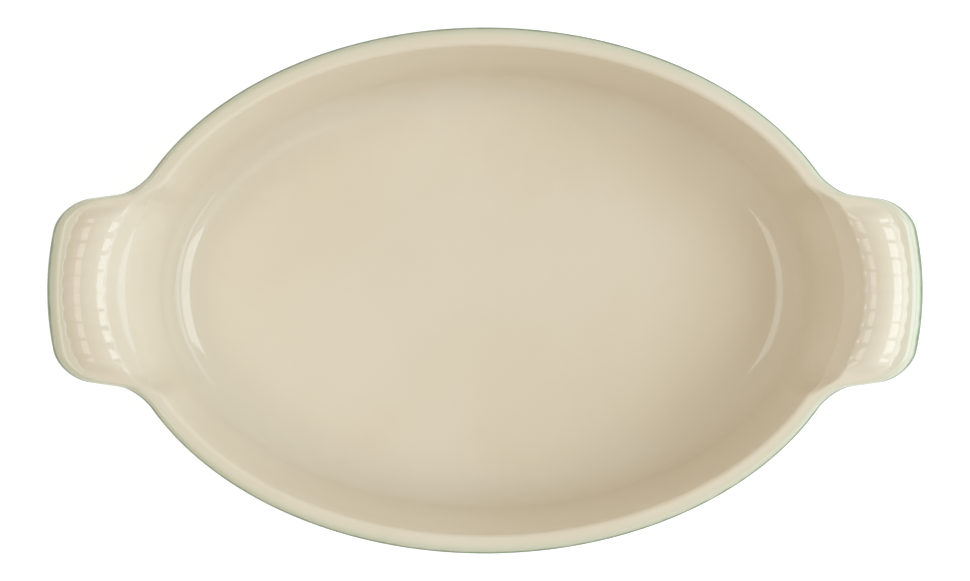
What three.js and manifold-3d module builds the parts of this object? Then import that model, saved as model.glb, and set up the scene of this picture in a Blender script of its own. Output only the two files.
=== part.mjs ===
import * as THREE from "three";
import { mergeVertices } from "three/addons/utils/BufferGeometryUtils.js";
import Module from "manifold-3d";

// Oval stoneware baking dish: a clay basin with a fluted lug luted to each end,
// a cream glaze inside and over the lugs, a green glaze outside and under the base.
// Millimetres and degrees. X runs along the dish, Z is up, the foot ring stands on Z = 0.

// Overall sizes
const rimLength = 306;
const rimWidth = 216;
const rimHeight = 65;

// Section of the basin
const rimBand = 7.8;
const rimInnerRadius = 2.2;
const rimOuterRadius = 3.2;
const wallDraft = 12;
const wallAtFoot = 6.8;
const floorThickness = 6.5;
const innerCornerRadius = 18;
const outerCornerRadius = 18;
const footHeight = 3;
const footWidth = 6;
const footInset = 1.6;
const footRecess = 1.5;
const footChamfer = 0.8;

// Plan of a lug
const lugLength = 27;
const lugWidth = 78.4;
const lugTaper = 8;
const lugTipRadius = 122;
const cornerBlend = 11;
const neckBlend = 7;
const lugSpread = 28;

// Section of a lug: a ramp flares out from the wall, below the rim, and fades out across the neck
const rampTilt = 48;
const rampHollow = 0.15;
const rampRounding = 2;
const creaseLean = 2.4;
const neckStart = 45;
const neckEnd = 37;
const lugEdgeRadius = 6;
const lugUnderRadius = 3.6;
const lugRootDrop = 20;
const lugGrowth = 8;

// Fluted bar across a lug
const barFromTip = 15.5;
const barWidth = 17.6;
const barRise = 3;
const barBow = 1.3;
const barEndFade = 7.5;
const fluteCount = 8;
const flutePitch = 7;
const fluteDepth = 0.5;

// Glaze coats and clearances
const glazeThickness = 0.5;
const glazeClearance = 0.15;
const slipGap = 0.3;

// Steps of the loft
const fluteSteps = 3;
const fanColumns = 7;
const sideColumns = 11;

const { degToRad, lerp, smoothstep } = THREE.MathUtils;
const overallLength = rimLength + 2 * lugLength;
const halfLength = rimLength / 2;
const halfWidth = rimWidth / 2;
const draft = degToRad(wallDraft);
const spread = degToRad(lugSpread);
const floorLevel = footRecess + floorThickness;
const edgeLevel = rimHeight - rimOuterRadius;
const rootLevel = rimHeight - lugRootDrop;

// A place on the basin's sweep: an oval offset from the outer edge of the rim
function onOval(offset, turn, z) {
  const x = (halfLength + offset) * Math.cos(turn);
  const y = (halfWidth + offset) * Math.sin(turn);
  return new THREE.Vector3(x, y, z);
}

function arcPoints(x, z, radius, from, to, steps) {
  return new THREE.EllipseCurve(x, z, radius, radius, from, to, to < from).getPoints(steps);
}

// Inside of the basin as offset and height: floor, corner and wall
const creaseOffset = rimInnerRadius * Math.cos(draft) - rimBand;
const wallTop = rimHeight - rimInnerRadius * (1 - Math.sin(draft));
const innerWallOffset = (z) => (z - wallTop) * Math.tan(draft) - rimBand;
const innerCornerTop = floorLevel + innerCornerRadius * (1 - Math.sin(draft));
const floorEdge = innerWallOffset(innerCornerTop) - innerCornerRadius * Math.cos(draft);
const cornerLevel = floorLevel + innerCornerRadius;
const bowlSection = arcPoints(floorEdge, cornerLevel, innerCornerRadius, -Math.PI / 2, -draft, 4);

// Outside of the basin: the wall thins from the rim to the foot and turns in to the foot ring
const outerCornerTop = footHeight + outerCornerRadius * (1 - Math.sin(draft));
const outerWallFoot = innerWallOffset(outerCornerTop) + wallAtFoot;
const outerWallOffset = (z) => outerWallFoot * (edgeLevel - z) / (edgeLevel - outerCornerTop);
const outerCornerIn = outerWallFoot - outerCornerRadius * Math.cos(draft);
const footOuter = outerCornerIn - footInset;
const footInner = footOuter - footWidth;
const outsideSection = [
  ...arcPoints(outerCornerIn, footHeight + outerCornerRadius, outerCornerRadius, -draft, -Math.PI / 2, 4),
  new THREE.Vector2(footOuter, footHeight - glazeThickness),
];
const footSection = [
  new THREE.Vector2(footOuter - footChamfer, 0),
  new THREE.Vector2(footInner + footChamfer, 0),
];
const baseSection = [
  new THREE.Vector2(footInner, footChamfer),
  new THREE.Vector2(footInner - footInset, footRecess),
];

// Plan outline, negative inside: the oval of the rim blended with a lug at each end
function roundedUnion(p, q, radius) {
  return Math.max(radius, Math.min(p, q)) - Math.hypot(Math.max(radius - p, 0), Math.max(radius - q, 0));
}

function roundedOverlap(p, q, radius) {
  return Math.min(-radius, Math.max(p, q)) + Math.hypot(Math.max(radius + p, 0), Math.max(radius + q, 0));
}

function outline(x, y) {
  const scaled = Math.hypot(x / halfLength, y / halfWidth);
  const steepness = Math.hypot(x / halfLength ** 2, y / halfWidth ** 2);
  const oval = scaled * (scaled - 1) / steepness;
  const taper = degToRad(lugTaper);
  const halfLug = lugWidth / 2 - (Math.abs(x) - halfLength) * Math.tan(taper);
  const side = (Math.abs(y) - halfLug) * Math.cos(taper);
  const tip = Math.hypot(Math.abs(x) - overallLength / 2 + lugTipRadius, y) - lugTipRadius;
  return roundedUnion(oval, roundedOverlap(side, tip, cornerBlend), neckBlend);
}

// Where a straight line from inside the dish crosses the outline
function outlineAlong(start, direction) {
  let inside = 0;
  let outside = overallLength;
  for (let step = 0; step < 40; step += 1) {
    const middle = (inside + outside) / 2;
    if (outline(start.x + direction.x * middle, start.y + direction.y * middle) < 0) {
      inside = middle;
    } else {
      outside = middle;
    }
  }
  return start.clone().addScaledVector(direction, inside).setZ(0);
}

// Bar across a lug, and the ramp from the crease up to the bar
const tilt = degToRad(rampTilt);
const startTilt = (slope) => Math.atan(Math.tan(slope) * (1 - rampHollow));
const lugCrease = creaseOffset + creaseLean - rimInnerRadius * Math.sin(startTilt(tilt));
const lugReach = lugLength - lugCrease;
const barMiddle = 1 - barFromTip / lugReach;
const barHalf = barWidth / 2;
const barRadius = (barHalf ** 2 + barRise ** 2) / (2 * barRise);
const flutedHalf = fluteCount * flutePitch / 2;
const barBowAt = (y) => barBow * Math.min(y / flutedHalf, 1) ** 2;
const barFadeAt = (y) => 1 - smoothstep(y, flutedHalf, flutedHalf + barEndFade);

// Columns of the loft, each from the crease out to the outline of the rim or of a lug.
// Only some run through every row: flutes need more on top, and the lug's corners on top and below.
const everyRow = 0;
const lugRowsOnly = 1;
const topRowsOnly = 2;

function makeColumn(turn, edge, level) {
  const rampShare = 1 - smoothstep(Math.abs(onOval(creaseOffset, turn, 0).y), neckEnd, neckStart);
  const columnTilt = tilt * Math.sqrt(rampShare);
  const creaseTilt = startTilt(columnTilt);
  const arcOffset = creaseOffset + creaseLean * rampShare;
  const crease = onOval(arcOffset - rimInnerRadius * Math.sin(creaseTilt), turn, 0);
  const reach = edge.distanceTo(crease);
  const footAlong = barMiddle - (barHalf + barBowAt(Math.abs(crease.y))) / lugReach;
  const rampRun = footAlong * reach * rampShare;
  const beyondRim = Math.max(reach - onOval(0, turn, 0).distanceTo(crease), 0);
  const share = smoothstep(beyondRim, 0, lugGrowth);
  const edgeRadius = lerp(rimOuterRadius, lugEdgeRadius, share);
  const ramp = { columnTilt, creaseTilt, arcOffset, rampRun, rampShare };
  return { turn, crease, edge, reach, ...ramp, beyondRim, share, edgeRadius, level };
}

// Half of a lug: straight columns along the flutes, then a fan round its corner and neck
function halfLugColumns() {
  const columns = [];
  for (let step = 0; step <= fluteCount * fluteSteps / 2; step += 1) {
    const turn = Math.asin(flutePitch * step / fluteSteps / (halfWidth + lugCrease));
    const edge = outlineAlong(onOval(lugCrease, turn, 0), new THREE.Vector3(1, 0, 0));
    columns.push(makeColumn(turn, edge, step % (2 * fluteSteps) === 0 ? everyRow : topRowsOnly));
  }
  const last = columns.at(-1);
  const lastAngle = Math.atan2(last.edge.y, last.edge.x);
  const spreadAngle = Math.atan2(halfWidth * Math.sin(spread), halfLength * Math.cos(spread));
  for (let step = 1; step <= fanColumns; step += 1) {
    const along = step / fanColumns;
    const angle = lerp(lastAngle, spreadAngle, along);
    const outward = new THREE.Vector3(Math.cos(angle), Math.sin(angle), 0);
    const level = (fanColumns - step) % 2 ? lugRowsOnly : everyRow;
    const edge = outlineAlong(new THREE.Vector3(), outward);
    columns.push(makeColumn(lerp(last.turn, spread, along), edge, level));
  }
  return columns;
}

function mirrored(column, alongX, alongY) {
  const flip = new THREE.Vector3(alongX, alongY, 1);
  const turn = Math.atan2(Math.sin(column.turn) * alongY, Math.cos(column.turn) * alongX);
  const crease = column.crease.clone().multiply(flip);
  const edge = column.edge.clone().multiply(flip);
  return { ...column, turn, crease, edge };
}

function allColumns() {
  const upper = halfLugColumns();
  const lower = upper.slice(1).reverse().map((column) => mirrored(column, 1, -1));
  const side = [];
  for (let step = 1; step <= sideColumns; step += 1) {
    const turn = lerp(spread, Math.PI - spread, step / (sideColumns + 1));
    side.push(makeColumn(turn, onOval(0, turn, 0), everyRow));
  }
  const half = [...lower, ...upper, ...side];
  const whole = [...half, ...half.map((column) => mirrored(column, -1, -1))];
  return whole.map((column, index) => ({ ...column, index }));
}

// Height of a lug against the rim: the ramp up from the crease, then the fluted bar across the plate
function lugHeight(column, along) {
  const y = Math.abs(lerp(column.crease.y, column.edge.y, along));
  const barFade = barFadeAt(y);
  const run = along * column.reach;
  const hollow = 1 + rampHollow * (run < column.rampRun ? run / column.rampRun : 1);
  const belowPlate = Math.tan(column.columnTilt) * (column.rampRun - run) * hollow;
  const ramp = -roundedOverlap(belowPlate, 0, rampRounding * column.rampShare * (1 - barFade));
  const acrossBar = Math.min(Math.abs((along - barMiddle) * lugReach + barBowAt(y)), barHalf);
  const bar = barFade * (Math.sqrt(barRadius ** 2 - acrossBar ** 2) - barRadius + barRise);
  const fluteTurn = (y / flutePitch + fluteCount / 2) % 1;
  const valley = fluteDepth * (2 * fluteTurn - 1) ** 2;
  return ramp + Math.max(bar - valley, 0);
}

// Inner edge of the rim, rounded from the wall to the flat rim or to the ramp of a lug
function rimPoint(column, along) {
  const angle = lerp(Math.PI - draft, Math.PI / 2 + column.creaseTilt, along);
  const middle = rimHeight + lugHeight(column, 0) - rimInnerRadius * Math.cos(column.creaseTilt);
  const offset = column.arcOffset + rimInnerRadius * Math.cos(angle);
  return onOval(offset, column.turn, middle + rimInnerRadius * Math.sin(angle));
}

function topPoint(column, along) {
  const fromEdge = (1 - along) * column.reach;
  const rounded = Math.max(column.edgeRadius - fromEdge, 0);
  const drop = column.edgeRadius - Math.sqrt(column.edgeRadius ** 2 - rounded ** 2);
  return column.crease.clone().lerp(column.edge, along).setZ(rimHeight + lugHeight(column, along) - drop);
}

// Top rows between the crease and the rounded edge, then the rounded edge down to the glaze line
const flatShare = 1 - lugEdgeRadius / lugReach;
const barRows = [-1, -0.72, -0.38, 0, 0.38, 0.72, 1].map((across) => barMiddle + across * barHalf / lugReach);
const topRows = [0.5 * barRows[0], ...barRows].map((along) => along / flatShare);
const rimArcRows = [0, 0.5, 1];
const edgeRows = [0, 45, 90].map(degToRad);

function topAlong(column, row) {
  return row * (1 - column.edgeRadius / column.reach);
}

function edgeAlong(column, angle) {
  return 1 - column.edgeRadius * (1 - Math.sin(angle)) / column.reach;
}

// Underside: round the lower edge of the lug, then sweep in to its root on the wall
function lowerEdge(column, angle) {
  const z = topPoint(column, 1).z - lugUnderRadius * Math.sin(angle);
  const inward = column.crease.clone().sub(column.edge).normalize();
  const radius = Math.min(lugUnderRadius, column.beyondRim);
  const onLug = column.edge.clone().addScaledVector(inward, radius * (1 - Math.cos(angle))).setZ(z);
  return onOval(outerWallOffset(z), column.turn, z).lerp(onLug, column.share);
}

function underSweep(column, along) {
  const start = lowerEdge(column, Math.PI / 2);
  const root = onOval(outerWallOffset(rootLevel), column.turn, rootLevel);
  const level = start.clone().lerp(root, 0.5).setZ(start.z);
  const leave = start.clone().lerp(root, 1 / 3).lerp(level, column.share);
  const meetLevel = lerp(rootLevel, start.z, 0.6);
  const meet = onOval(outerWallOffset(meetLevel), column.turn, meetLevel);
  return new THREE.CubicBezierCurve3(start, leave, meet, root).getPoint(along);
}

const underRows = [
  (column) => lowerEdge(column, Math.PI / 4),
  ...[0, 1 / 3, 2 / 3, 1].map((along) => (column) => underSweep(column, along)),
];

// The finished surface as rings of points, from the middle of the floor round to the middle of the base
function makeRing(columns, place) {
  return { ids: columns.map((column) => column.index), points: columns.map(place) };
}

function skin(columns) {
  const through = columns.filter((column) => column.level === everyRow);
  const underLug = columns.filter((column) => column.level <= lugRowsOnly);
  const swept = (section) => section.map((p) => makeRing(through, (column) => onOval(p.x, column.turn, p.y)));
  const parts = {
    inside: [
      ...swept(bowlSection),
      ...rimArcRows.map((row) => makeRing(through, (column) => rimPoint(column, row))),
      ...topRows.map((row) => makeRing(columns, (column) => topPoint(column, topAlong(column, row)))),
      ...edgeRows.map((angle) => makeRing(columns, (column) => topPoint(column, edgeAlong(column, angle)))),
    ],
    outside: [
      ...underRows.map((row) => makeRing(underLug, row)),
      ...swept(outsideSection),
    ],
    foot: swept(footSection),
    base: swept(baseSection),
  };
  Object.values(parts).flat().forEach((ring, rank) => {
    ring.rank = rank;
  });
  return parts;
}

// A closed loft through rings of points; open ends are fanned to their middle
function loft(rings, isLoop) {
  const points = rings.flatMap((ring) => ring.points);
  const triangles = [];
  const starts = [];
  let count = 0;
  for (const ring of rings) {
    starts.push(count);
    count += ring.points.length;
  }
  const bands = isLoop ? rings.length : rings.length - 1;
  for (let band = 0; band < bands; band += 1) {
    const next = (band + 1) % rings.length;
    joinRings(rings[band], starts[band], rings[next], starts[next], triangles);
  }
  if (!isLoop) {
    fanEnd(rings[0], starts[0], points, triangles, false);
    fanEnd(rings.at(-1), starts.at(-1), points, triangles, true);
  }
  const geometry = new THREE.BufferGeometry().setFromPoints(points);
  geometry.setIndex(triangles);
  return geometry;
}

function joinRings(ringA, startA, ringB, startB, triangles) {
  const countA = ringA.ids.length;
  const countB = ringB.ids.length;
  let a = 0;
  let b = 0;
  while (a < countA || b < countB) {
    const nextA = ringA.ids[a + 1] ?? Infinity;
    const nextB = ringB.ids[b + 1] ?? Infinity;
    const hereA = startA + a % countA;
    const hereB = startB + b % countB;
    const thenA = startA + (a + 1) % countA;
    const thenB = startB + (b + 1) % countB;
    if (nextA === nextB && ringA.rank < ringB.rank) {
      triangles.push(hereA, hereB, thenB, hereA, thenB, thenA);
    } else if (nextA === nextB) {
      triangles.push(hereA, hereB, thenA, hereB, thenB, thenA);
    } else {
      triangles.push(hereA, hereB, nextA < nextB ? thenA : thenB);
    }
    a += nextA <= nextB ? 1 : 0;
    b += nextB <= nextA ? 1 : 0;
  }
}

function fanEnd(ring, start, points, triangles, isLast) {
  const middle = new THREE.Vector3(0, 0, ring.points[0].z);
  const count = ring.points.length;
  points.push(middle);
  for (let i = 0; i < count; i += 1) {
    const here = start + i;
    const then = start + (i + 1) % count;
    triangles.push(isLast ? here : points.length - 1, isLast ? points.length - 1 : here, then);
  }
}

// The same rings moved into the material, along the normals of the whole surface
function sunk(rings, depth) {
  const geometry = loft(rings, false);
  geometry.computeVertexNormals();
  const normals = geometry.getAttribute("normal");
  let vertex = 0;
  return rings.map((ring) => ({
    ids: ring.ids,
    rank: ring.rank + 0.5,
    points: ring.points.map((point) => {
      const normal = new THREE.Vector3().fromBufferAttribute(normals, vertex);
      vertex += 1;
      return point.clone().addScaledVector(normal, -depth);
    }),
  }));
}

function sunkSkin(whole, depth) {
  const rings = sunk([...whole.inside, ...whole.outside, ...whole.foot, ...whole.base], depth);
  const inside = rings.splice(0, whole.inside.length);
  const outside = rings.splice(0, whole.outside.length);
  return { inside, outside, foot: whole.foot, base: rings.slice(whole.foot.length) };
}

function clay(whole, depth) {
  const core = sunkSkin(whole, depth);
  return loft([...core.inside, ...core.outside, ...core.foot, ...core.base], false);
}

// Cutting with clearance
const wasm = await Module();
wasm.setup();

function toSolid(geometry) {
  const bare = new THREE.BufferGeometry();
  bare.setAttribute("position", geometry.getAttribute("position"));
  bare.setIndex(geometry.getIndex());
  const joined = mergeVertices(bare);
  const vertProperties = new Float32Array(joined.getAttribute("position").array);
  const triVerts = new Uint32Array(joined.getIndex().array);
  return new wasm.Manifold(new wasm.Mesh({ numProp: 3, vertProperties, triVerts }));
}

function toGeometry(solid) {
  const mesh = solid.getMesh();
  const geometry = new THREE.BufferGeometry();
  geometry.setAttribute("position", new THREE.BufferAttribute(new Float32Array(mesh.vertProperties), 3));
  geometry.setIndex(new THREE.BufferAttribute(new Uint32Array(mesh.triVerts), 1));
  return geometry;
}

// Surface of the whole dish, its clay, and the plain oval form that parts the basin from the lugs
const columns = allColumns();
const dish = skin(columns);
const wholeClay = toSolid(clay(dish, glazeThickness + glazeClearance));
const formTop = rimHeight + barRise;

function ovalForm(growth) {
  const through = columns.filter((column) => column.level === everyRow);
  const levels = [[outerWallOffset(-1), -1], [0, edgeLevel], [0, formTop]];
  const rings = levels.map(([offset, z]) => {
    return makeRing(through, (column) => onOval(offset + growth, column.turn, z));
  });
  return toSolid(loft(rings.toReversed(), false));
}

const basin = wholeClay.intersect(ovalForm(-glazeThickness));
const lugs = wholeClay.subtract(ovalForm(slipGap - glazeThickness));

function lugGeometry(end) {
  const otherHalf = new THREE.BoxGeometry(overallLength, overallLength, overallLength);
  otherHalf.translate(-end * overallLength / 2, 0, 0);
  return toGeometry(lugs.subtract(toSolid(otherHalf)));
}

// Glaze coats lie between the finished surface and a sunk copy of it
const under = sunkSkin(dish, glazeThickness);
const glazeLine = dish.inside.at(-1);
const glazeLineUnder = under.inside.at(-1);
const innerCoat = loft([...dish.inside, ...under.inside.toReversed()], false);
const outerCoat = loft([glazeLine, ...dish.outside, ...under.outside.toReversed(), glazeLineUnder], true);
const baseCoat = loft([...under.base.toReversed(), ...dish.base], false);

const stoneware = { color: 0xc8b498, roughness: 0.85, metalness: 0 };
const cream = { color: 0xdcd2ba, roughness: 0.15, metalness: 0 };
const green = { color: 0x7a9167, roughness: 0.15, metalness: 0 };

const oval_baking_dish = new THREE.Group();
oval_baking_dish.name = "oval_baking_dish";

function addPiece(name, geometry, finish) {
  const mesh = new THREE.Mesh(geometry, new THREE.MeshStandardMaterial(finish));
  mesh.name = name;
  oval_baking_dish.add(mesh);
}

addPiece("basin", toGeometry(basin), stoneware);
addPiece("left_lug", lugGeometry(-1), stoneware);
addPiece("right_lug", lugGeometry(1), stoneware);
addPiece("inner_glaze", innerCoat, cream);
addPiece("outer_glaze", outerCoat, green);
addPiece("base_glaze", baseCoat, green);

export default oval_baking_dish;
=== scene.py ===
import math

import bpy
import numpy as np
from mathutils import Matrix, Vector


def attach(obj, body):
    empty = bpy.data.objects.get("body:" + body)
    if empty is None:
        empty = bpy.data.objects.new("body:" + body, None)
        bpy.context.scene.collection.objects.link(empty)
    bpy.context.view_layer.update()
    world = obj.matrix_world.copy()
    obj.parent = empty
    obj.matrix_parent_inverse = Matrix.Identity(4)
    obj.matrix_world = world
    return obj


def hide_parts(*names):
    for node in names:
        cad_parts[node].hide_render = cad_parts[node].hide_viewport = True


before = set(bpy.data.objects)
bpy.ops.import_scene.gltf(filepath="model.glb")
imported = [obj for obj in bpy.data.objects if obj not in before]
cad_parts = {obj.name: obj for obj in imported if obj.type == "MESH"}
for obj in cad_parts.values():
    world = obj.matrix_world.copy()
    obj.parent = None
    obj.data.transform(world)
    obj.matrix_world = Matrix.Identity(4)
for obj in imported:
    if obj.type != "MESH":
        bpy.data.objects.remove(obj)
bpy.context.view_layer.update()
print("frame loaded:", sorted(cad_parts))

# sizes of the dish in metres and degrees, as in the solids but for the bar's rise and the swell at the roots
dish = {
    "halfLength": 0.153, "halfWidth": 0.108, "tip": 0.180, "rimHeight": 0.065,
    "rimBand": 0.0078, "rimInnerRadius": 0.0022, "rimOuterRadius": 0.0032,
    "wallDraft": 12, "wallAtFoot": 0.0068, "floorLevel": 0.008,
    "innerCorner": 0.018, "outerCorner": 0.018,
    "footHeight": 0.003, "footWidth": 0.006, "footInset": 0.0016, "footRecess": 0.0015,
    "footChamfer": 0.0008, "recessBend": (0.5, 0.85), "recessBand": 0.02,
    "glaze": 0.0005, "glazeRoll": (0.0003, 0.0001), "clayDepth": 0.00065, "clayRoll": (0.7, 0.0002),
}
lug = {
    "width": 0.0784, "taper": 8, "tipRadius": 0.122, "cornerBlend": 0.011, "neckBlend": 0.007,
    "spread": 28, "growth": 0.008,
    "rampTilt": 48, "rampHollow": 0.15, "rampRounding": 0.002, "creaseLean": 0.0024,
    "neckStart": 0.045, "neckEnd": 0.037,
    "edgeRadius": 0.006, "underRadius": 0.0036, "underFlat": 0.5,
    "rootDrop": 0.020, "rootCling": 0.6, "rootSwell": 0.0003,
}
flutes = {
    "barFromTip": 0.0155, "barWidth": 0.0176, "barRise": 0.00294, "barBow": 0.0013,
    "barEndFade": 0.0075, "count": 8, "pitch": 0.007, "depth": 0.0005,
}
meshSteps = {
    "perFlute": 10, "fan": 36, "side": 72, "halvings": 44,
    "corner": 14, "wall": 5, "rim": 8, "top": 46, "edge": 12, "lip": 8, "under": 12,
    "clayRim": 6, "clayLip": 8, "chamfer": 3,
}
farFromEdge = 0.02  # the glaze is of full depth from here on

draft = math.radians(dish["wallDraft"])
creaseOffset = dish["rimInnerRadius"] * math.cos(draft) - dish["rimBand"]
wallTop = dish["rimHeight"] - dish["rimInnerRadius"] * (1 - math.sin(draft))
edgeLevel = dish["rimHeight"] - dish["rimOuterRadius"]
rootLevel = dish["rimHeight"] - lug["rootDrop"]
rampTilt = math.radians(lug["rampTilt"])


def startTilt(slope):
    return np.arctan(np.tan(slope) * (1 - lug["rampHollow"]))


lugCrease = creaseOffset + lug["creaseLean"] - dish["rimInnerRadius"] * math.sin(startTilt(rampTilt))
lugReach = dish["tip"] - dish["halfLength"] - lugCrease
barMiddle = 1 - flutes["barFromTip"] / lugReach
barHalf = flutes["barWidth"] / 2
fluteHalf = flutes["count"] * flutes["pitch"] / 2


def smoothStep(value, low, high):
    t = np.clip((np.asarray(value) - low) / (high - low), 0, 1)
    return t * t * (3 - 2 * t)


def mix(a, b, t):
    return a + (b - a) * t


def onOval(offset, turn):
    x = (dish["halfLength"] + offset) * np.cos(turn)
    y = (dish["halfWidth"] + offset) * np.sin(turn)
    return np.stack([x, y], -1)


def innerWallOffset(z):
    return (z - wallTop) * math.tan(draft) - dish["rimBand"]


outerCornerTop = dish["footHeight"] + dish["outerCorner"] * (1 - math.sin(draft))
outerWallFoot = innerWallOffset(outerCornerTop) + dish["wallAtFoot"]


def outerWallOffset(z):
    return outerWallFoot * (edgeLevel - z) / (edgeLevel - outerCornerTop)


def roundedUnion(p, q, radius):
    corner = np.hypot(np.maximum(radius - p, 0), np.maximum(radius - q, 0))
    return np.maximum(radius, np.minimum(p, q)) - corner


def roundedOverlap(p, q, radius):
    corner = np.hypot(np.maximum(radius + p, 0), np.maximum(radius + q, 0))
    return np.minimum(-radius, np.maximum(p, q)) + corner


# plan outline, negative inside: the oval blended with a lug at each end
def outlineField(x, y):
    a, b = dish["halfLength"], dish["halfWidth"]
    scaled = np.hypot(x / a, y / b)
    oval = scaled * (scaled - 1) / np.maximum(np.hypot(x / a ** 2, y / b ** 2), 1e-9)
    taper = math.radians(lug["taper"])
    side = (np.abs(y) - lug["width"] / 2 + (np.abs(x) - a) * math.tan(taper)) * math.cos(taper)
    tip = np.hypot(np.abs(x) - dish["tip"] + lug["tipRadius"], y) - lug["tipRadius"]
    return roundedUnion(oval, roundedOverlap(side, tip, lug["cornerBlend"]), lug["neckBlend"])


def barBowAt(y):
    return flutes["barBow"] * np.minimum(y / fluteHalf, 1) ** 2


def barFadeAt(y):
    return 1 - smoothStep(y, fluteHalf, fluteHalf + flutes["barEndFade"])


def outlineAlong(start, direction):
    inside = np.zeros(len(start))
    outside = np.full(len(start), 2 * dish["tip"])
    for _ in range(meshSteps["halvings"]):
        middle = (inside + outside) / 2
        place = start + direction * middle[:, None]
        isIn = outlineField(place[:, 0], place[:, 1]) < 0
        inside = np.where(isIn, middle, inside)
        outside = np.where(isIn, outside, middle)
    return start + direction * inside[:, None]


# columns run from the crease out to the outline, straight along the flutes and fanned round the lug's corners
def dishColumns():
    spread = math.radians(lug["spread"])
    y = np.linspace(0, fluteHalf, flutes["count"] * meshSteps["perFlute"] // 2 + 1)
    fluteTurn = np.arcsin(y / (dish["halfWidth"] + lugCrease))
    fluteEdge = outlineAlong(onOval(lugCrease, fluteTurn), np.tile([1.0, 0.0], (len(y), 1)))
    share = np.arange(1, meshSteps["fan"] + 1) / meshSteps["fan"]
    firstAngle = math.atan2(fluteEdge[-1, 1], fluteEdge[-1, 0])
    lastAngle = math.atan2(dish["halfWidth"] * math.sin(spread), dish["halfLength"] * math.cos(spread))
    angle = mix(firstAngle, lastAngle, share)
    fanTurn = mix(fluteTurn[-1], spread, share)
    fanEdge = outlineAlong(np.zeros((len(share), 2)), np.stack([np.cos(angle), np.sin(angle)], -1))
    turn = np.concatenate([fluteTurn, fanTurn])
    edge = np.concatenate([fluteEdge, fanEdge])
    turn = np.concatenate([-turn[:0:-1], turn])
    edge = np.concatenate([edge[:0:-1] * [1, -1], edge])
    sideTurn = np.linspace(spread, math.pi - spread, meshSteps["side"] + 2)[1:-1]
    turn = np.concatenate([turn, sideTurn])
    edge = np.concatenate([edge, onOval(0, sideTurn)])
    turn = np.concatenate([turn, turn + math.pi])
    edge = np.concatenate([edge, -edge])
    creaseSide = np.abs(onOval(creaseOffset, turn)[:, 1])
    rampShare = 1 - smoothStep(creaseSide, lug["neckEnd"], lug["neckStart"])
    tilt = rampTilt * np.sqrt(rampShare)
    arcAt = creaseOffset + lug["creaseLean"] * rampShare
    creaseAt = arcAt - dish["rimInnerRadius"] * np.sin(startTilt(tilt))
    crease = onOval(creaseAt, turn)
    reach = np.linalg.norm(edge - crease, axis=1)
    rampRun = (barMiddle - (barHalf + barBowAt(np.abs(crease[:, 1]))) / lugReach) * reach * rampShare
    beyondRim = np.maximum(reach - np.linalg.norm(onOval(0, turn) - crease, axis=1), 0)
    lugShare = smoothStep(beyondRim, 0, lug["growth"])
    edgeRadius = mix(dish["rimOuterRadius"], lug["edgeRadius"], lugShare)
    return {
        "turn": turn, "crease": crease, "creaseAt": creaseAt, "arcAt": arcAt, "edge": edge, "reach": reach,
        "tilt": tilt, "creaseTilt": startTilt(tilt), "rampShare": rampShare, "rampRun": rampRun,
        "beyondRim": beyondRim, "lugShare": lugShare, "edgeRadius": edgeRadius,
    }


columns = dishColumns()
columnCount = len(columns["turn"])
print("columns round the dish:", columnCount)


# a row holds the oval sweep of each column and how far the lug pushes it from there
def sweptRow(offset, height):
    full = np.ones(columnCount)
    return {"turn": columns["turn"], "offset": full * offset, "height": full * height,
            "lugPush": np.zeros((columnCount, 3)), "barArch": full * 0, "fromEdge": full * farFromEdge}


def pushedRow(place, offset, height, barArch, fromEdge):
    base = np.column_stack([onOval(offset, columns["turn"]), height])
    return {"turn": columns["turn"], "offset": offset, "height": height, "lugPush": place - base,
            "barArch": barArch, "fromEdge": fromEdge}


def arcRows(centre, level, radius, start, end, steps):
    angles = np.linspace(start, end, steps + 1)
    return [sweptRow(centre + radius * math.cos(t), level + radius * math.sin(t)) for t in angles]


# the ramp flares out from the wall below the rim and fades out across the neck
def rampHeight(along):
    c = columns
    y = np.abs(mix(c["crease"][:, 1], c["edge"][:, 1], along))
    run = along * c["reach"]
    hollow = 1 + lug["rampHollow"] * np.minimum(run / np.maximum(c["rampRun"], 1e-6), 1)
    below = np.tan(c["tilt"]) * (c["rampRun"] - run) * hollow
    return -roundedOverlap(below, 0, lug["rampRounding"] * c["rampShare"] * (1 - barFadeAt(y)))


def topRow(along):
    c = columns
    plan = mix(c["crease"], c["edge"], along[:, None])
    y = np.abs(plan[:, 1])
    fromEdge = (1 - along) * c["reach"]
    rounded = np.maximum(c["edgeRadius"] - fromEdge, 0)
    drop = c["edgeRadius"] - np.sqrt(np.maximum(c["edgeRadius"] ** 2 - rounded ** 2, 0))
    rise = flutes["barRise"]
    radius = (barHalf ** 2 + rise ** 2) / (2 * rise)
    across = np.minimum(np.abs((along - barMiddle) * lugReach + barBowAt(y)), barHalf)
    arch = barFadeAt(y) * (np.sqrt(radius ** 2 - across ** 2) - radius + rise) / rise
    height = dish["rimHeight"] + rampHeight(along) - drop
    place = np.column_stack([plan, height])
    thinAt = fromEdge * dish["rimOuterRadius"] / c["edgeRadius"]
    return pushedRow(place, c["creaseAt"] * (1 - along), dish["rimHeight"] - drop, arch, thinAt)


def rimRow(along):
    c = columns
    radius = dish["rimInnerRadius"]
    angle = mix(math.pi - draft, math.pi / 2 + c["creaseTilt"], along)
    middle = dish["rimHeight"] + rampHeight(np.zeros(columnCount)) - radius * np.cos(c["creaseTilt"])
    return sweptRow(c["arcAt"] + radius * np.cos(angle), middle + radius * np.sin(angle))


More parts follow.
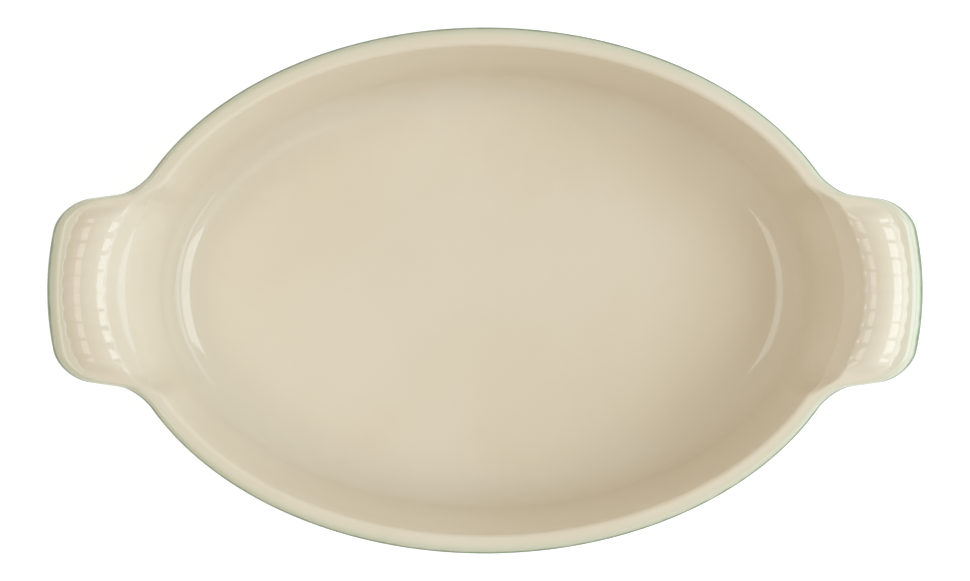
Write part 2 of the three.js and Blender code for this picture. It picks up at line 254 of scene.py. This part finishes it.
def lowerEdge(angle):
    c = columns
    edgeRow = topRow(np.ones(columnCount))
    edgeHeight = edgeRow["height"] + edgeRow["lugPush"][:, 2]
    height = edgeHeight - lug["underRadius"] * math.sin(angle)
    inward = (c["crease"] - c["edge"]) / c["reach"][:, None]
    radius = np.minimum(lug["underRadius"], c["beyondRim"])
    onLug = c["edge"] + inward * (radius * (1 - math.cos(angle)))[:, None]
    onWall = onOval(outerWallOffset(height), c["turn"])
    return np.column_stack([mix(onWall, onLug, c["lugShare"][:, None]), height])


def underSweep(t):
    c = columns
    start = lowerEdge(math.pi / 2)
    rootPlan = onOval(outerWallOffset(rootLevel), c["turn"])
    root = np.column_stack([rootPlan, np.full(columnCount, rootLevel)])
    level = mix(start, root, lug["underFlat"])
    level[:, 2] = start[:, 2]
    leave = mix(mix(start, root, 1 / 3), level, c["lugShare"][:, None])
    meetHeight = mix(rootLevel, start[:, 2], lug["rootCling"])
    meet = np.column_stack([onOval(outerWallOffset(meetHeight), c["turn"]), meetHeight])
    u = 1 - t
    place = u ** 3 * start + 3 * u ** 2 * t * leave + 3 * u * t ** 2 * meet + t ** 3 * root
    swell = lug["rootSwell"] * c["lugShare"] * math.sqrt(max(math.sin(math.pi * t), 0))
    place[:, :2] += onOval(swell, c["turn"]) - onOval(0, c["turn"])
    place[:, 2] -= swell
    return place


def underRow(place):
    offset = outerWallOffset(place[:, 2])
    return pushedRow(place, offset, place[:, 2], np.zeros(columnCount), edgeLevel - place[:, 2])


# rows of the finished surface, from the floor over the rim and lugs, down the outside to the foot
innerCornerTop = dish["floorLevel"] + dish["innerCorner"] * (1 - math.sin(draft))
floorEdge = innerWallOffset(innerCornerTop) - dish["innerCorner"] * math.cos(draft)
outerCornerIn = outerWallFoot - dish["outerCorner"] * math.cos(draft)
footOuter = outerCornerIn - dish["footInset"]
footInner = footOuter - dish["footWidth"]


def insideRows():
    rows = arcRows(floorEdge, dish["floorLevel"] + dish["innerCorner"], dish["innerCorner"],
                   -math.pi / 2, -draft, meshSteps["corner"])
    wallFoot, wallHead = rows[-1], rimRow(0)
    for t in np.linspace(0, 1, meshSteps["wall"] + 1)[1:-1]:
        offset = mix(wallFoot["offset"], wallHead["offset"], t)
        rows.append(sweptRow(offset, mix(wallFoot["height"], wallHead["height"], t)))
    rows += [rimRow(t) for t in np.linspace(0, 1, meshSteps["rim"] + 1)]
    flat = 1 - columns["edgeRadius"] / columns["reach"]
    for t in np.linspace(0, 1, meshSteps["top"] + 1)[1:]:
        rows.append(topRow(flat * t))
    for angle in np.linspace(0, math.pi / 2, meshSteps["edge"] + 1)[1:]:
        rows.append(topRow(1 - columns["edgeRadius"] * (1 - math.sin(angle)) / columns["reach"]))
    return rows


def outsideRows():
    rows = [topRow(np.ones(columnCount))]
    for angle in np.linspace(0, math.pi / 2, meshSteps["lip"] + 1)[1:-1]:
        rows.append(underRow(lowerEdge(angle)))
    for t in np.linspace(0, 1, meshSteps["under"] + 1):
        rows.append(underRow(underSweep(t)))
    for z in np.linspace(rootLevel, outerCornerTop, meshSteps["wall"] + 1)[1:-1]:
        rows.append(sweptRow(outerWallOffset(z), z))
    rows += arcRows(outerCornerIn, dish["footHeight"] + dish["outerCorner"], dish["outerCorner"],
                    -draft, -math.pi / 2, meshSteps["corner"])
    rollOut, rollDown = dish["glazeRoll"]
    rows.append(sweptRow(footOuter + rollOut, dish["footHeight"] - rollDown))
    rows.append(sweptRow(footOuter, dish["footHeight"] - dish["glaze"]))
    return rows


def baseRows():
    inner = footInner - dish["footInset"]
    bendIn, bendUp = dish["recessBend"]
    return [
        sweptRow(footInner, dish["footChamfer"]),
        sweptRow(mix(footInner, inner, bendIn), mix(dish["footChamfer"], dish["footRecess"], bendUp)),
        sweptRow(inner, dish["footRecess"]),
        sweptRow(inner - dish["recessBand"], dish["footRecess"]),
    ]


def chamferRow(ringEdge, inward, t):
    chamfer, turn = dish["footChamfer"], t * math.pi / 2
    return sweptRow(ringEdge + inward * chamfer * (1 - math.cos(turn)), chamfer * (1 - math.sin(turn)))


# the clay basin under the glaze, bare at its foot ring; at the lugs its rim is cut down to the ramp
def clayRows():
    deep = dish["clayDepth"]
    rows = arcRows(floorEdge, dish["floorLevel"] + dish["innerCorner"], dish["innerCorner"] + deep,
                   -math.pi / 2, -draft, meshSteps["corner"])
    cut = rampHeight(np.zeros(columnCount))
    level = dish["rimHeight"] - dish["rimInnerRadius"] + cut
    radius = dish["rimInnerRadius"] - deep
    for t in np.linspace(math.pi - draft, math.pi / 2, meshSteps["clayRim"] + 1):
        rows.append(sweptRow(columns["arcAt"] + radius * math.cos(t), level + radius * math.sin(t)))
    lean = outerWallOffset(edgeLevel + cut) - dish["rimOuterRadius"]
    radius = dish["rimOuterRadius"] - deep
    for t in np.linspace(math.pi / 2, -draft, meshSteps["clayLip"] + 1):
        rows.append(sweptRow(lean + radius * math.cos(t), edgeLevel + cut + radius * math.sin(t)))
    rows += arcRows(outerCornerIn, dish["footHeight"] + dish["outerCorner"], dish["outerCorner"] - deep,
                    -draft, -math.pi / 2, meshSteps["corner"])
    rollShare, rollDown = dish["clayRoll"]
    rows.append(sweptRow(footOuter - deep * rollShare, dish["footHeight"] - rollDown))
    chamferSteps = np.linspace(0, 1, meshSteps["chamfer"] + 1)
    rows += [chamferRow(footOuter, -1, t) for t in chamferSteps]
    rows += [chamferRow(footInner, 1, t) for t in chamferSteps[::-1]]
    rows.append(sweptRow(footInner - dish["footInset"] - deep, dish["footRecess"] + deep))
    return rows


# one mesh of quads through the rows, with its ends closed to a point in the middle
def meshFromRows(name, rows, closeStart, closeEnd):
    n = columnCount
    count = len(rows) * n
    endRows = [rows[0]] * closeStart + [rows[-1]] * closeEnd
    data = {key: np.concatenate([row[key] for row in rows]) for key in rows[0]}
    faces = []
    for r in range(len(rows) - 1):
        for i in range(n):
            j = (i + 1) % n
            faces.append((r * n + i, (r + 1) * n + i, (r + 1) * n + j, r * n + j))
    if closeStart:
        faces += [(count, i, (i + 1) % n) for i in range(n)]
    if closeEnd:
        last = (len(rows) - 1) * n
        faces += [(last + i, count + len(endRows) - 1, last + (i + 1) % n) for i in range(n)]
    for row in endRows:
        offset = row["offset"][0]
        middle = {"turn": 0, "offset": offset, "height": row["height"][0], "barArch": 0,
                  "fromEdge": farFromEdge}
        for key, value in middle.items():
            data[key] = np.append(data[key], value)
        toMiddle = -np.append(onOval(offset, np.zeros(1))[0], 0)
        data["lugPush"] = np.vstack([data["lugPush"], toMiddle])
    mesh = bpy.data.meshes.new(name)
    mesh.from_pydata(np.zeros((count + len(endRows), 3)).tolist(), [], faces)
    for key, values in data.items():
        kind, field = ("FLOAT_VECTOR", "vector") if values.ndim == 2 else ("FLOAT", "value")
        attribute = mesh.attributes.new(key, kind, "POINT")
        attribute.data.foreach_set(field, values.astype(np.float32).ravel())
    piece = bpy.data.objects.new(name, mesh)
    bpy.context.scene.collection.objects.link(piece)
    return piece


# node tree: sweeps every row round the oval, pushes the lugs out, raises the bar and presses the flutes
def sweepTree():
    tree = bpy.data.node_groups.new("sweepDish", "GeometryNodeTree")
    tree.interface.new_socket("Geometry", in_out="INPUT", socket_type="NodeSocketGeometry")
    for name in ("Half Length", "Half Width", "Bar Rise", "Flute Count", "Flute Pitch", "Flute Depth"):
        tree.interface.new_socket(name, in_out="INPUT", socket_type="NodeSocketFloat")
    tree.interface.new_socket("Finish", in_out="INPUT", socket_type="NodeSocketMaterial")
    tree.interface.new_socket("Geometry", in_out="OUTPUT", socket_type="NodeSocketGeometry")
    nodes, links = tree.nodes, tree.links
    start = nodes.new("NodeGroupInput")
    end = nodes.new("NodeGroupOutput")

    def put(socket, value):
        if isinstance(value, bpy.types.NodeSocket):
            links.new(value, socket)
        else:
            socket.default_value = value

    def calc(operation, a, b=0.0):
        node = nodes.new("ShaderNodeMath")
        node.operation = operation
        put(node.inputs[0], a)
        put(node.inputs[1], b)
        return node.outputs[0]

    def stored(name, kind="FLOAT"):
        node = nodes.new("GeometryNodeInputNamedAttribute")
        node.data_type = kind
        node.inputs["Name"].default_value = name
        return [s for s in node.outputs if s.enabled and s.name == "Attribute"][0]

    turn, offset = stored("turn"), stored("offset")
    sweep = nodes.new("ShaderNodeCombineXYZ")
    halfLength = calc("ADD", start.outputs["Half Length"], offset)
    halfWidth = calc("ADD", start.outputs["Half Width"], offset)
    put(sweep.inputs[0], calc("MULTIPLY", halfLength, calc("COSINE", turn)))
    put(sweep.inputs[1], calc("MULTIPLY", halfWidth, calc("SINE", turn)))
    put(sweep.inputs[2], stored("height"))
    pushed = nodes.new("ShaderNodeVectorMath")
    put(pushed.inputs[0], sweep.outputs[0])
    put(pushed.inputs[1], stored("lugPush", "FLOAT_VECTOR"))
    placed = nodes.new("GeometryNodeSetPosition")
    put(placed.inputs["Geometry"], start.outputs["Geometry"])
    put(placed.inputs["Position"], pushed.outputs[0])

    # a flute is a low crown between two valleys, pressed no deeper than the bar is high
    place = nodes.new("GeometryNodeInputPosition")
    split = nodes.new("ShaderNodeSeparateXYZ")
    put(split.inputs[0], place.outputs[0])
    flute = calc("DIVIDE", split.outputs[1], start.outputs["Flute Pitch"])
    phase = calc("FRACT", calc("ADD", flute, calc("MULTIPLY", start.outputs["Flute Count"], 0.5)))
    crown = calc("POWER", calc("ABSOLUTE", calc("SUBTRACT", calc("MULTIPLY", phase, 2.0), 1.0)), 2.0)
    bar = calc("MULTIPLY", stored("barArch"), start.outputs["Bar Rise"])
    valley = calc("MULTIPLY", crown, start.outputs["Flute Depth"])
    lift = nodes.new("ShaderNodeCombineXYZ")
    put(lift.inputs[2], calc("MAXIMUM", calc("SUBTRACT", bar, valley), 0.0))
    fluted = nodes.new("GeometryNodeSetPosition")
    put(fluted.inputs["Geometry"], placed.outputs[0])
    put(fluted.inputs["Offset"], lift.outputs[0])

    smooth = nodes.new("GeometryNodeSetShadeSmooth")
    put(smooth.inputs["Geometry"], fluted.outputs[0])
    real = nodes.new("GeometryNodeRealizeInstances")
    put(real.inputs["Geometry"], smooth.outputs[0])
    finish = nodes.new("GeometryNodeSetMaterial")
    put(finish.inputs["Geometry"], real.outputs[0])
    put(finish.inputs["Material"], start.outputs["Finish"])
    put(end.inputs[0], finish.outputs[0])
    return tree


dishTree = sweepTree()


def sweepPiece(piece, finish, thickness=0):
    modifier = piece.modifiers.new("sweepDish", "NODES")
    modifier.node_group = dishTree
    values = {
        "Half Length": dish["halfLength"], "Half Width": dish["halfWidth"], "Bar Rise": flutes["barRise"],
        "Flute Count": float(flutes["count"]), "Flute Pitch": flutes["pitch"], "Flute Depth": flutes["depth"],
        "Finish": finish,
    }
    for item in dishTree.interface.items_tree:
        if item.name in values:
            modifier[item.identifier] = values[item.name]
    if thickness:
        coat = piece.modifiers.new("coat", "SOLIDIFY")
        coat.thickness = thickness
        coat.offset = -1
    graph = bpy.context.evaluated_depsgraph_get()
    made = bpy.data.meshes.new_from_object(piece.evaluated_get(graph))
    piece.modifiers.clear()
    made.name = piece.name
    for name in ("turn", "offset", "height", "lugPush", "barArch"):
        made.attributes.remove(made.attributes[name])
    piece.data = made
    print("piece", piece.name, "faces", len(made.polygons))
    return piece


# materials
class NodeBench:
    def __init__(self, name):
        self.material = bpy.data.materials.new(name)
        self.material.use_nodes = True
        self.nodes = self.material.node_tree.nodes
        self.links = self.material.node_tree.links
        self.shader = self.nodes["Principled BSDF"]
        self.place = self.nodes.new("ShaderNodeTexCoord").outputs["Object"]

    def add(self, kind, settings=None, **inputs):
        node = self.nodes.new(kind)
        for key, value in (settings or {}).items():
            setattr(node, key, value)
        for key, value in inputs.items():
            self.put(node.inputs[key.replace("_", " ")], value)
        return node

    def put(self, socket, value):
        if isinstance(value, bpy.types.NodeSocket):
            self.links.new(value, socket)
        else:
            socket.default_value = value

    def noise(self, scale, detail=3.0, roughness=0.5):
        node = self.add("ShaderNodeTexNoise", Vector=self.place, Scale=scale, Detail=detail,
                        Roughness=roughness)
        return node.outputs["Fac"]

    def spread(self, value, fromLow, fromHigh, low, high, smooth=False):
        node = self.add("ShaderNodeMapRange")
        node.interpolation_type = "SMOOTHSTEP" if smooth else "LINEAR"
        self.put(node.inputs["Value"], value)
        numbers = {"From Min": fromLow, "From Max": fromHigh, "To Min": low, "To Max": high}
        for key, number in numbers.items():
            node.inputs[key].default_value = number
        return node.outputs["Result"]

    def math(self, operation, a, b=0.0):
        node = self.add("ShaderNodeMath", {"operation": operation})
        self.put(node.inputs[0], a)
        self.put(node.inputs[1], b)
        return node.outputs[0]

    def blend(self, amount, a, b):
        node = self.add("ShaderNodeMix", {"data_type": "RGBA"})
        self.put(node.inputs[0], amount)
        self.put(node.inputs[6], a)
        self.put(node.inputs[7], b)
        return node.outputs[2]

    def bump(self, height, strength, distance):
        node = self.add("ShaderNodeBump", Height=height, Strength=strength, Distance=distance)
        self.put(self.shader.inputs["Normal"], node.outputs[0])


def srgb(r, g, b):
    def linear(v):
        v /= 255
        return v / 12.92 if v <= 0.04045 else ((v + 0.055) / 1.055) ** 2.4
    return (linear(r), linear(g), linear(b), 1)


# what both glazes share: a cloudy body, a thin greenish edge, a slightly uneven polish and a faint ripple
def glazeBench(name, look):
    bench = NodeBench(name)
    cloud = bench.spread(bench.noise(look["cloudScale"], 4), 0.35, 0.65, 0, 1, True)
    body = bench.blend(cloud, look["body"], look["shade"])
    edge = bench.add("ShaderNodeAttribute", {"attribute_name": "fromEdge"}).outputs["Fac"]
    ragged = look["raggedness"]
    uneven = bench.spread(bench.noise(look["raggedScale"], 2), 0.3, 0.7, -ragged, ragged)
    fromEdge = bench.math("ADD", edge, uneven)
    thin = bench.spread(fromEdge, 0, look["edgeWidth"], look["edgeShare"], 0, True)
    polish = bench.spread(bench.noise(look["polishScale"], 3), 0.3, 0.7, *look["roughness"])
    bench.put(bench.shader.inputs["Roughness"], polish)
    bench.bump(bench.noise(look["rippleScale"], 2), look["rippleStrength"], look["rippleHeight"])
    return bench, fromEdge, bench.blend(thin, body, look["thin"])


creamLook = {
    "body": srgb(231, 220, 199), "shade": srgb(228, 216, 193), "thin": srgb(198, 206, 180),
    "line": srgb(90, 116, 66), "lineWidth": 0.0011, "lineSolid": 0.3,
    "edgeWidth": 0.0055, "edgeShare": 0.62, "raggedness": 0.0001, "raggedScale": 160,
    "cloudScale": 14, "roughness": (0.05, 0.09), "polishScale": 90,
    "rippleScale": 55, "rippleStrength": 0.12, "rippleHeight": 0.0006,
}


def creamGlaze():
    look = creamLook
    bench, fromEdge, colour = glazeBench("creamGlaze", look)
    line = bench.spread(fromEdge, look["lineWidth"] * look["lineSolid"], look["lineWidth"], 1, 0, True)
    bench.put(bench.shader.inputs["Base Color"], bench.blend(line, colour, look["line"]))
    return bench.material


greenLook = {
    "body": srgb(112, 134, 92), "shade": srgb(96, 120, 80), "thin": srgb(150, 162, 124),
    "edgeWidth": 0.0022, "edgeShare": 0.5, "raggedness": 0.0004, "raggedScale": 200,
    "cloudScale": 18, "roughness": (0.07, 0.14), "polishScale": 90,
    "rippleScale": 55, "rippleStrength": 0.15, "rippleHeight": 0.0006,
}


def greenGlaze():
    bench, _, colour = glazeBench("greenGlaze", greenLook)
    bench.put(bench.shader.inputs["Base Color"], colour)
    return bench.material


clayLook = {
    "body": srgb(203, 184, 156), "grog": srgb(150, 122, 92), "grogShare": 0.35, "roughness": (0.75, 0.95),
    "grainScale": 900, "grainStrength": 0.35, "grainHeight": 0.0004, "speckScale": 1400,
}


def bareStoneware():
    look = clayLook
    bench = NodeBench("bareStoneware")
    grain = bench.noise(look["grainScale"], 4, 0.7)
    specks = bench.spread(bench.noise(look["speckScale"], 2), 0.62, 0.7, 0, 1)
    body = bench.blend(bench.spread(grain, 0.3, 0.7, 0, look["grogShare"]), look["body"], look["grog"])
    bench.put(bench.shader.inputs["Base Color"], bench.blend(specks, body, look["grog"]))
    bench.put(bench.shader.inputs["Roughness"], bench.spread(grain, 0.3, 0.7, *look["roughness"]))
    bench.bump(grain, look["grainStrength"], look["grainHeight"])
    return bench.material


cream, green, clay = creamGlaze(), greenGlaze(), bareStoneware()
print("materials made")

innerGlaze = sweepPiece(meshFromRows("innerGlaze", insideRows(), True, False), cream, dish["glaze"])
outerGlaze = sweepPiece(meshFromRows("outerGlaze", outsideRows(), False, False), green, dish["glaze"])
baseGlaze = sweepPiece(meshFromRows("baseGlaze", baseRows(), False, True), green, dish["glaze"])
stonewareBasin = sweepPiece(meshFromRows("stonewareBasin", clayRows(), True, True), clay)

finishedPieces = (
    (innerGlaze, "inner_glaze", "cream_glaze"),
    (outerGlaze, "outer_glaze", "green_glaze"),
    (baseGlaze, "base_glaze", "green_glaze"),
    (stonewareBasin, "basin", "stoneware"),
)
for piece, node, slot in finishedPieces:
    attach(piece, "root")
    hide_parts(node)
# the lugs of the solids stay, as clay hidden under the glaze
for name in ("left_lug", "right_lug"):
    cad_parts[name].data.materials.clear()
    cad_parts[name].data.materials.append(clay)
print("pieces placed")

# floor: white to the camera and in reflections, with a faint shadow of the dish kept
floorLook = {"size": 6.0, "drop": 0.0003, "colour": (0.86, 0.86, 0.86, 1), "glow": 0.58}


def paleFloor():
    half, level = floorLook["size"] / 2, -floorLook["drop"]
    mesh = bpy.data.meshes.new("paleFloor")
    corners = [(-half, -half, level), (half, -half, level), (half, half, level), (-half, half, level)]
    mesh.from_pydata(corners, [], [(0, 1, 2, 3)])
    floor = bpy.data.objects.new("paleFloor", mesh)
    bpy.context.scene.collection.objects.link(floor)
    material = bpy.data.materials.new("palePaper")
    material.use_nodes = True
    nodes, links = material.node_tree.nodes, material.node_tree.links
    nodes.clear()
    matt = nodes.new("ShaderNodeBsdfDiffuse")
    matt.inputs["Color"].default_value = floorLook["colour"]
    glow = nodes.new("ShaderNodeEmission")
    ray = nodes.new("ShaderNodeLightPath")
    looking = ray.outputs["Is Camera Ray"]
    for bounce in ("Is Glossy Ray", "Is Transmission Ray"):
        either = nodes.new("ShaderNodeMath")
        either.operation = "MAXIMUM"
        links.new(looking, either.inputs[0])
        links.new(ray.outputs[bounce], either.inputs[1])
        looking = either.outputs[0]
    seen = nodes.new("ShaderNodeMath")
    seen.operation = "MULTIPLY"
    links.new(looking, seen.inputs[0])
    seen.inputs[1].default_value = floorLook["glow"]
    links.new(seen.outputs[0], glow.inputs["Strength"])
    both = nodes.new("ShaderNodeAddShader")
    links.new(matt.outputs[0], both.inputs[0])
    links.new(glow.outputs[0], both.inputs[1])
    out = nodes.new("ShaderNodeOutputMaterial")
    links.new(both.outputs[0], out.inputs["Surface"])
    mesh.materials.append(material)


paleFloor()

# light: cool soft boxes on the right, weaker ones on the left, and a warm soft room
studio = {
    "room": 0.51, "roomTint": (1.0, 0.955, 0.88), "aim": (0, 0, 0.06),
    "boxes": [
        {"name": "rightKey", "place": (1.03, 0, 1.01), "size": (1.1, 0.64),
         "power": 8.3, "tint": (0.78, 0.90, 1.0)},
        {"name": "rightNear", "place": (0.69, -0.76, 1.01), "size": (0.9, 0.62),
         "power": 1.0, "tint": (0.92, 0.97, 1.0)},
        {"name": "rightWide", "place": (1.66, 0, 0.41), "size": (3.0, 0.7),
         "power": 12.6, "tint": (0.68, 0.83, 1.0)},
        {"name": "leftWide", "place": (-1.62, 0, 0.58), "size": (3.0, 0.7),
         "power": 1.1, "tint": (1.0, 0.86, 0.66)},
        {"name": "leftMiddle", "place": (-1.04, 0, 1.0), "size": (1.1, 0.5),
         "power": 0.6, "tint": (1.0, 0.97, 0.92)},
        {"name": "leftStrip", "place": (-0.74, 0, 1.25), "size": (1.1, 0.46),
         "power": 3.6, "tint": (0.96, 0.97, 0.97)},
    ],
}


def lightStudio():
    world = bpy.data.worlds.new("softRoom")
    world.use_nodes = True
    world.node_tree.nodes["Background"].inputs["Color"].default_value = (*studio["roomTint"], 1)
    world.node_tree.nodes["Background"].inputs["Strength"].default_value = studio["room"]
    bpy.context.scene.world = world
    for box in studio["boxes"]:
        lamp = bpy.data.lights.new(box["name"], "AREA")
        lamp.shape = "RECTANGLE"
        lamp.size, lamp.size_y = box["size"]
        lamp.energy = box["power"]
        lamp.color = box["tint"]
        holder = bpy.data.objects.new(box["name"], lamp)
        bpy.context.scene.collection.objects.link(holder)
        holder.location = box["place"]
        toBox = Vector(box["place"]) - Vector(studio["aim"])
        holder.rotation_euler = toBox.to_track_quat("Z", "Y").to_euler()


lightStudio()

# camera straight above, framed as the photograph's 970 by 581
view = {"level": 0.066, "distance": 1.6, "widthSeen": 0.3970, "centre": (0.0, 0.0), "sensor": 36}


def placeCamera():
    lens = bpy.data.cameras.new("camera")
    lens.sensor_width = view["sensor"]
    lens.lens = view["sensor"] * view["distance"] / view["widthSeen"]
    camera = bpy.data.objects.new("camera", lens)
    camera.location = (*view["centre"], view["level"] + view["distance"])
    bpy.context.scene.collection.objects.link(camera)
    bpy.context.scene.camera = camera


placeCamera()
bpy.context.scene.view_settings.view_transform = "Standard"
print("light and camera set")
